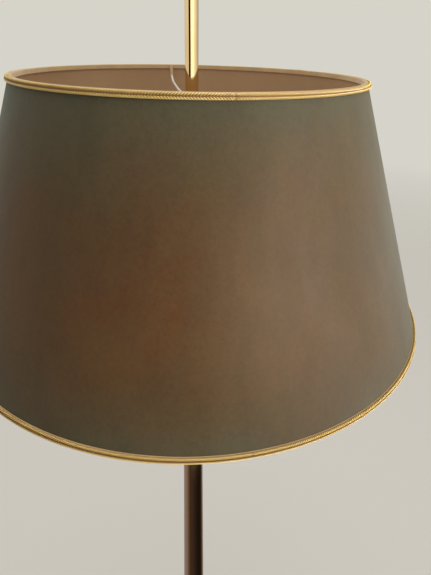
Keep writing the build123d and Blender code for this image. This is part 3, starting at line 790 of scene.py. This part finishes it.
def brass_material():
    """Polished lacquered brass with faint handling marks and fine polishing lines."""
    made = Surface("polished_brass", linear(243, 216, 162), 0.07, metallic=1.0)
    smudges = made.noise(36, detail=4, roughness=0.6)
    lines = made.noise(900, detail=2, roughness=0.6, stretch=(1, 1, 0.02))
    made.paint(made.blend(linear(244, 218, 164), linear(238, 208, 150), smudges, 0.35, 0.7))
    worn = made.rescale(smudges, 0.35, 0.75, 0.04, 0.08)
    brushed = made.rescale(lines, 0.3, 0.7, 0, 0.02)
    made.roughen(made.calculate("ADD", worn, brushed))
    made.emboss(lines, 0.002 * MM, 0.1)
    return made.material


def plain_metal(name, colour, roughness, scale):
    """A plated or machined metal with small tone and gloss changes."""
    made = Surface(name, colour, roughness, metallic=1.0)
    spots = made.noise(scale, detail=4, roughness=0.6)
    made.paint(made.blend(colour, dimmed(colour, 0.8), spots))
    made.roughen(made.rescale(spots, 0.3, 0.7, roughness - 0.06, roughness + 0.1))
    made.emboss(made.noise(scale * 12, detail=2), 0.02 * MM, 0.4)
    return made.material


def cast_iron_material():
    made = Surface("cast_iron", linear(44, 44, 46), 0.7, metallic=0.3)
    grain = made.noise(700, detail=5, roughness=0.65)
    made.paint(made.blend(linear(38, 38, 40), linear(64, 62, 60), grain))
    made.emboss(grain, 0.35 * MM, 0.6)
    return made.material


def felt_material():
    made = Surface("dark_felt", linear(40, 46, 42), 0.95, specular=0.1, sheen=0.6,
                   sheen_roughness=0.6, sheen_tint=linear(150, 160, 150))
    fibres = made.noise(1300, detail=5, roughness=0.7, distortion=1.5)
    made.paint(made.blend(linear(34, 40, 36), linear(66, 72, 66), fibres))
    made.emboss(fibres, 0.3 * MM, 0.7)
    return made.material


def moulded_material(name, colour, roughness, scale=400, depth=0.03 * MM):
    """A moulded, painted or glazed surface with a faint orange-peel and small tone changes."""
    made = Surface(name, colour, roughness)
    tone = made.noise(scale / 8, detail=3)
    made.paint(made.blend(colour, dimmed(colour, 0.86), tone))
    made.roughen(made.rescale(tone, 0.3, 0.7, roughness - 0.04, roughness + 0.06))
    made.emboss(made.noise(scale, detail=2), depth, 0.3)
    return made.material


def opal_glass_material():
    """Bulb glass, frosted white inside."""
    made = Surface("opal_glass", linear(244, 241, 232), 0.16, transmission=0.1, ior=1.45,
                   subsurface=0.3, subsurface_scale=0.004)
    made.paint(made.blend(linear(246, 243, 235), linear(236, 232, 222), made.noise(40, detail=2)))
    return made.material


# By material slot, and one more for the threads of painted shade between the cords.
MATERIALS = {
    "shade_fabric": shade_cloth_material(),
    "shade_lining": lining_material(),
    "binding_tape": tape_material(),
    "trim_cord": cord_material(),
    "polished_brass": brass_material(),
    "contact_brass": plain_metal("contact_brass", linear(196, 160, 98), 0.35, 300),
    "cast_iron": cast_iron_material(),
    "zinc_steel": plain_metal("zinc_steel", linear(186, 188, 186), 0.38, 260),
    "nickel": plain_metal("nickel", linear(206, 203, 196), 0.25, 220),
    "felt": felt_material(),
    "black_rubber": moulded_material("black_rubber", linear(34, 34, 35), 0.62, 900, 0.06 * MM),
    "nylon": moulded_material("natural_nylon", linear(222, 217, 203), 0.45),
    "porcelain": moulded_material("porcelain", linear(236, 233, 225), 0.12, 160, 0.05 * MM),
    "opal_glass": opal_glass_material(),
    "key_plastic": moulded_material("key_plastic", linear(32, 29, 27), 0.2, 300),
    "white_wire": moulded_material("coated_wire", linear(228, 218, 206), 0.35, 700, 0.05 * MM),
    "painted_shade_look": painted_shade_thread_material(),
}


def dress(piece, look):
    piece.data.materials.clear()
    piece.data.materials.append(MATERIALS[look])


# ---------------------------------------------------------------- stage: floor and world

FLOOR_RADIUS = 7.0
FLOOR_RINGS = (0.001, 0.5, 1, 2, 3.5, 5, FLOOR_RADIUS)
FLOOR_FADE = (2.2, 6.0)     # from the lamp's axis, where the floor starts and ends thinning out
FLOOR_SEGMENTS = 96
FLOOR_TONE = linear(224, 221, 214)
BACKDROP = linear(214, 212, 202)
SOFT_TONE = linear(255, 253, 249)
SOFT_LIGHT = 0.62

# What polished metal mirrors, by azimuth in degrees from the front (-Y), + to the right: the room, the
# pale floor under it, and the dark floor straight down.
ROOM = (
    (-180, linear(150, 147, 144)),
    (-150, linear(184, 182, 180)),
    (-60, linear(194, 191, 187)),
    (-49, linear(176, 170, 160)),
    (-46, linear(9, 7, 5)),
    (-17, linear(7, 5, 3)),
    (-15, linear(255, 255, 255)),
    (34, linear(255, 255, 255)),
    (42, linear(226, 225, 226)),
    (80, linear(194, 191, 190)),
    (112, linear(158, 155, 152)),
    (180, linear(150, 147, 144)),
)
PALE_MIRROR = (
    (-180, linear(168, 163, 154)),
    (-120, linear(214, 210, 201)),
    (-70, linear(206, 202, 192)),
    (-48, linear(150, 140, 126)),
    (-30, linear(132, 120, 104)),
    (-14, linear(236, 233, 226)),
    (30, linear(238, 235, 228)),
    (52, linear(176, 168, 155)),
    (95, linear(140, 130, 114)),
    (125, linear(222, 218, 209)),
    (155, linear(204, 199, 190)),
    (180, linear(168, 163, 154)),
)
DARK_MIRROR = (
    (-180, linear(150, 140, 140)),
    (-105, linear(133, 123, 132)),
    (-85, linear(128, 114, 120)),
    (-69, linear(112, 96, 94)),
    (-55, linear(88, 70, 65)),
    (-40, linear(64, 50, 45)),
    (-16, linear(60, 48, 48)),
    (21, linear(44, 33, 36)),
    (60, linear(28, 22, 20)),
    (92, linear(34, 26, 24)),
    (112, linear(62, 50, 54)),
    (125, linear(120, 110, 110)),
    (180, linear(150, 140, 140)),
)
ROOM_GAIN = 1.5
FLOOR_STARTS = (-0.1, -0.17)    # upward parts of the directions between which the room meets the floor
DARK_STARTS = (-0.7, -0.78)     # and between which the pale floor meets the dark floor

REFLECTOR_GAP = 0.5 * MM        # inside the upper binding
REFLECTOR_RISE = 1 * MM         # above the shade's top edge
REFLECTOR_DROP = 14 * MM        # below it, in front
REFLECTOR_SEGMENTS = 144


def make_floor():
    """A pale floor that thins out into the backdrop far from the lamp. Metal mirrors the world's
    own floor instead."""
    angles = full_turn(FLOOR_SEGMENTS)[:, None]
    radii = np.array(FLOOR_RINGS)
    points = around_axis(angles + 0 * radii, radii + 0 * angles, 0 * angles + 0 * radii)
    floor = grid_mesh("floor", points, True, False)
    made = Surface("pale_floor", FLOOR_TONE, 0.9, specular=0.1)
    distance = made.distance_from((0, 0, 0), (1, 1, 1))
    clear = made.add("BsdfTransparent").outputs[0]
    made.show(made.choose(made.rescale(distance, *FLOOR_FADE), made.shader.outputs[0], clear))
    floor.data.materials.append(made.material)
    floor.visible_glossy = False


def make_reflector():
    """A shallow skirt just inside the shade's top edge that only mirrors see. It shows the rod the room
    a little below the rim, most of all in front, so the bright stripes end in a point."""
    angles = full_turn(REFLECTOR_SEGMENTS)[:, None]
    front = (1 - np.sin(angles)) / 2
    down = np.array([[0.0, 1.0]])
    radius = inner_edge_radius("top_binding") - REFLECTOR_GAP
    heights = RIM_TOP + REFLECTOR_RISE - down * (REFLECTOR_RISE + REFLECTOR_DROP * front)
    points = around_axis(angles + 0 * heights, radius + 0 * heights, heights)
    skirt = grid_mesh("reflector", points, True, False)
    made = Surface("reflector", linear(0, 0, 0), 1.0)
    made.show(made.glow("Emission", made.by_azimuth(made.place, ROOM), ROOM_GAIN))
    skirt.data.materials.append(made.material)
    skirt.visible_camera = False
    skirt.visible_diffuse = False
    skirt.visible_shadow = False


def make_world():
    """A plain pale backdrop to the camera, soft even light, and for polished metal to mirror: a room,
    a pale floor under it, and a dark floor straight down."""
    world = bpy.data.worlds.new("studio")
    bpy.context.scene.world = world
    world.use_nodes = True
    made = Nodes(world.node_tree)
    direction = made.add("TexCoord").outputs["Generated"]
    height = made.component(direction, "Z")
    room = made.glow("Background", made.by_azimuth(direction, ROOM), ROOM_GAIN)
    pale_floor = made.glow("Background", made.by_azimuth(direction, PALE_MIRROR))
    dark_floor = made.glow("Background", made.by_azimuth(direction, DARK_MIRROR))
    mirrored = made.choose(made.rescale(height, *FLOOR_STARTS), room, pale_floor)
    mirrored = made.choose(made.rescale(height, *DARK_STARTS), mirrored, dark_floor)
    soft = made.glow("Background", SOFT_TONE, SOFT_LIGHT)
    backdrop = made.glow("Background", BACKDROP)
    rays = made.add("LightPath")
    shown = made.choose(rays.outputs["Is Glossy Ray"], soft, mirrored)
    shown = made.choose(rays.outputs["Is Camera Ray"], shown, backdrop)
    made.feed(world.node_tree.nodes["World Output"].inputs["Surface"], shown)


# ---------------------------------------------------------------- stage: lights

WINDOW_PLACE = (2.27, -1.25, 1.5)
WINDOW_AIM = (0, 0, RIM_TOP - SHADE_HEIGHT / 2)
WINDOW_SIZE = 1.2
WINDOW_POWER = 15           # watts
WINDOW_SPREAD = 60          # degrees
WINDOW_TONE = linear(244, 247, 251)
CEILING_PLACE = (0.2, 0.4, 3.4)
CEILING_AIM = (0, 0.3, 0)
CEILING_SIZE = 3.0
CEILING_POWER = 30          # watts


def make_light(name, place, target, size, power, colour):
    """A square panel of light, turned towards a target."""
    data = bpy.data.lights.new(name, "AREA")
    data.shape = "SQUARE"
    data.size = size
    data.energy = power
    data.color = colour[:3]
    light = bpy.data.objects.new(name, data)
    bpy.context.scene.collection.objects.link(light)
    light.location = place
    light.rotation_mode = "QUATERNION"
    light.rotation_quaternion = (Vector(target) - Vector(place)).to_track_quat("-Z", "Y")
    return light


def make_lights(lit_by_window):
    """The window lights the outside of the shade alone. The ceiling lights everything."""
    window = make_light("window", WINDOW_PLACE, WINDOW_AIM, WINDOW_SIZE, WINDOW_POWER, WINDOW_TONE)
    window.data.spread = math.radians(WINDOW_SPREAD)
    window.light_linking.receiver_collection = lit_by_window
    make_light("ceiling", CEILING_PLACE, CEILING_AIM, CEILING_SIZE, CEILING_POWER, SOFT_TONE)


# ---------------------------------------------------------------- putting it together

shade_outside = bpy.data.collections.new("shade_outside")


def add_outside(piece, look):
    """Dresses a piece on the outside of the shade, which the window lights."""
    dress(piece, look)
    shade_outside.objects.link(piece)


for subpart in frame["record"]["subparts"]:
    dress(frame["nodes"][subpart["node"]], subpart["material_slot"])

add_outside(make_cover(), "shade_fabric")
dress(make_lining(), "shade_lining")
dress(make_binding("top_tape", "top_binding", RIM_TOP, away=-1, seed=7), "binding_tape")
dress(make_binding("bottom_tape", "bottom_binding", RIM_LOW, away=1, seed=11), "binding_tape")
for number in (1, 2, 3):
    dress(make_arm_wrap(number), "binding_tape")
for node, twist, phase in TRIM_CORDS:
    add_outside(make_trim_cord(node, twist, phase), "trim_cord")
# The dark threads between the cords are painted shade.
for rim in ("top", "bottom"):
    painted_shade_thread = make_painted_shade_thread(rim + "_painted_shade_thread", rim + "_trim_upper", rim + "_trim_lower")
    add_outside(painted_shade_thread, "painted_shade_look")
rod = make_tube("rod", "rod_tube", "head", ROD_BEVEL, ROD_WALL, ROD_SEGMENTS)
column = make_tube("column", "column_tube", "stand", COLUMN_BEVEL, COLUMN_WALL, COLUMN_SEGMENTS)
for tube in (rod, column):
    dress(tube, "polished_brass")
dress(make_felt(), "felt")

make_floor()
make_reflector()
make_world()
make_lights(shade_outside)
bpy.context.scene.view_settings.view_transform = "Standard"
